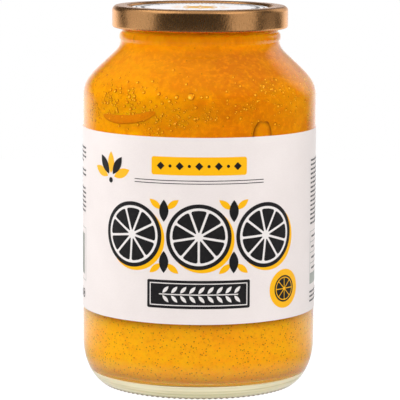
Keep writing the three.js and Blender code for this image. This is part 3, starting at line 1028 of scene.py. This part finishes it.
lid_finish, tree, shader = plain_finish(
    "gold_lacquer",
    {"Metallic": 1.0, "Specular Tint": (0.95, 0.80, 0.68, 1), "Coat Weight": 0.12, "Coat Roughness": 0.12},
)
grain = noise(tree, 1.0, 0.32, 0.68, stretch=(1500, 1500, 700), turn=(0, 0.6, 0), detail=2.0)
cloudy = noise(tree, 90, 0.35, 0.7, detail=2.0)
colour = blend(tree, cloudy, (0.80, 0.415, 0.165, 1), (0.77, 0.385, 0.15, 1))
colour = blend(tree, product(tree, grain, 0.5), colour, (0.66, 0.33, 0.13, 1))
tree.links.new(colour, shader.inputs["Base Color"])
matt = add_node(tree, "MapRange", {"To Min": 0.2, "To Max": 0.3})
tree.links.new(grain, matt.inputs["Value"])
tree.links.new(matt.outputs["Result"], shader.inputs["Roughness"])
brushed = add_node(tree, "Bump", {"Strength": 0.5, "Distance": 0.04 * mm})
tree.links.new(grain, brushed.inputs["Height"])
tree.links.new(brushed.outputs["Normal"], shader.inputs["Normal"])

lid = finished("lid_shell", turned(lid_inside + lid_outside[::-1], 192), lid_finish)
lid_pieces.objects.link(lid)
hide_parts("lid")
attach(lid, "lid")

fold_r = lid_r - curl_r
lug_r = 38.65
lug_section = [
    (fold_r + 0.2, curl_z - 0.95), (lug_r + 0.85, curl_z - 0.98), (lug_r + 0.25, curl_z - 0.85),
    (lug_r, curl_z - 0.5), (lug_r + 0.25, curl_z - 0.15), (lug_r + 0.85, curl_z - 0.05),
    (fold_r + 0.2, curl_z - 0.1),
]
lug = bmesh.new()
fold = [lug.verts.new((r * mm, 0, z * mm)) for r, z in lug_section]
lug.faces.new(fold)
bmesh.ops.rotate(lug, cent=(0, 0, 0), matrix=Matrix.Rotation(-lug_span / 2, 3, "Z"), verts=fold)
bmesh.ops.spin(
    lug, geom=lug.verts[:] + lug.edges[:] + lug.faces[:], cent=(0, 0, 0), axis=(0, 0, 1), dvec=(0, 0, 0),
    angle=lug_span, steps=8,
)
for vert in lug.verts:
    radius, angle = vert.co.xy.length, math.atan2(vert.co.y, vert.co.x)
    narrower = 1 - 0.22 * (fold_r - radius / mm) / (fold_r - lug_r + 0.05)
    vert.co.xy = (radius * math.cos(angle * narrower), radius * math.sin(angle * narrower))
first_lug = lug.verts[:] + lug.edges[:] + lug.faces[:]
for i in range(1, lugs):
    copy = bmesh.ops.duplicate(lug, geom=first_lug)["geom"]
    bmesh.ops.rotate(
        lug, cent=(0, 0, 0), matrix=Matrix.Rotation(i * 2 * math.pi / lugs, 3, "Z"),
        verts=[part for part in copy if isinstance(part, bmesh.types.BMVert)],
    )
bmesh.ops.recalc_face_normals(lug, faces=lug.faces)
lid_lugs = finished("lid_lugs", lug, lid_finish)
lid_pieces.objects.link(lid_lugs)
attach(lid_lugs, "lid")

# The gasket: a soft cream ring, flowed into the channel of the lid and baked there, which seals on the glass
# rim. It rises with the lid but doesn't turn with it, which its round shape hides.
gasket_low, gasket_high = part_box("lid_gasket")
gasket_r = gasket_high.x / mm
gasket_bottom = gasket_low.z / mm
gasket_top = gasket_high.z / mm
gasket_in_r = mouth_r + 0.7
gasket_finish, tree, shader = plain_finish("flowed_gasket", {"Roughness": 0.55})
tree.links.new(
    blend(tree, noise(tree, 400, 0.4, 0.7), (0.80, 0.77, 0.66, 1), (0.72, 0.69, 0.58, 1)),
    shader.inputs["Base Color"],
)
gasket = finished(
    "flowed_gasket",
    turned([
        (gasket_in_r, gasket_bottom + 0.3),
        (gasket_in_r + 0.3, gasket_bottom),
        (finish_r + 0.9, gasket_bottom),
        (finish_r + 1.2, gasket_bottom + 0.1),
        (gasket_r, gasket_top - 0.3),
        (gasket_r - 0.1, gasket_top),
        (gasket_in_r + 0.5, gasket_top),
        (gasket_in_r, gasket_top - 0.3),
        (gasket_in_r, gasket_bottom + 0.3),
    ], 120),
    gasket_finish,
)
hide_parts("lid_gasket")
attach(gasket, "seal")

# The seal: a round of white paper glued in the lid's recessed panel. A ring of ticks is printed on it in
# black, and a slice of fruit with small leaves round it in yellow.
sticker_low, sticker_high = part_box("lid_sticker")
sticker_r = sticker_high.x / mm
sticker_bottom = sticker_low.z / mm
sticker_top = sticker_high.z / mm
sticker = finished(
    "lid_seal",
    turned(
        [(0, sticker_bottom), (sticker_r, sticker_bottom), (sticker_r, sticker_top), (0, sticker_top)], 120,
    ),
    paper_finish("seal_paper", (0.93, 0.90, 0.90, 1), (0.89, 0.86, 0.86, 1), roughness=0.34, gloss=1.0),
)
sticker.modifiers.new("crisp_edges", "EDGE_SPLIT").split_angle = math.radians(40)
lid_pieces.objects.link(sticker)
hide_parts("lid_sticker")
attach(sticker, "lid")


def print_on_seal(name, ink, lift, material):
    """Lays the flat shapes on the seal."""
    thickened(ink)
    for vert in ink.verts:
        vert.co = (vert.co.x * mm, vert.co.y * mm, (sticker_top + lift + vert.co.z) * mm)
    made = finished(name, ink, material)
    made.data.shade_flat()
    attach(made, "lid")


seal_black = bmesh.new()
seal_yellow = bmesh.new()
ticks = 90
for i in range(ticks):
    turn = 2 * math.pi * i / ticks
    long_tick = i % 5 == 0
    reach = 27.6 if long_tick else 28.2
    bar(
        seal_black, reach * math.cos(turn), reach * math.sin(turn),
        2.9 if long_tick else 1.7, 0.7, turn=math.degrees(turn),
    )
ring(seal_black, 0, 0, 31.4, 30.9, 120)
fruit_slice(seal_yellow, 0, 0, 8.5)
rays = 12
ray_r = 12.5
for i in range(rays):
    turn = 2 * math.pi * i / rays
    leaf(seal_yellow, ray_r * math.cos(turn), ray_r * math.sin(turn), 3.4, 1.6, math.degrees(turn))
print_on_seal("seal_print_yellow", seal_yellow, lift=0.03, material=yellow_ink)
print_on_seal("seal_print_black", seal_black, lift=0.07, material=black_ink)
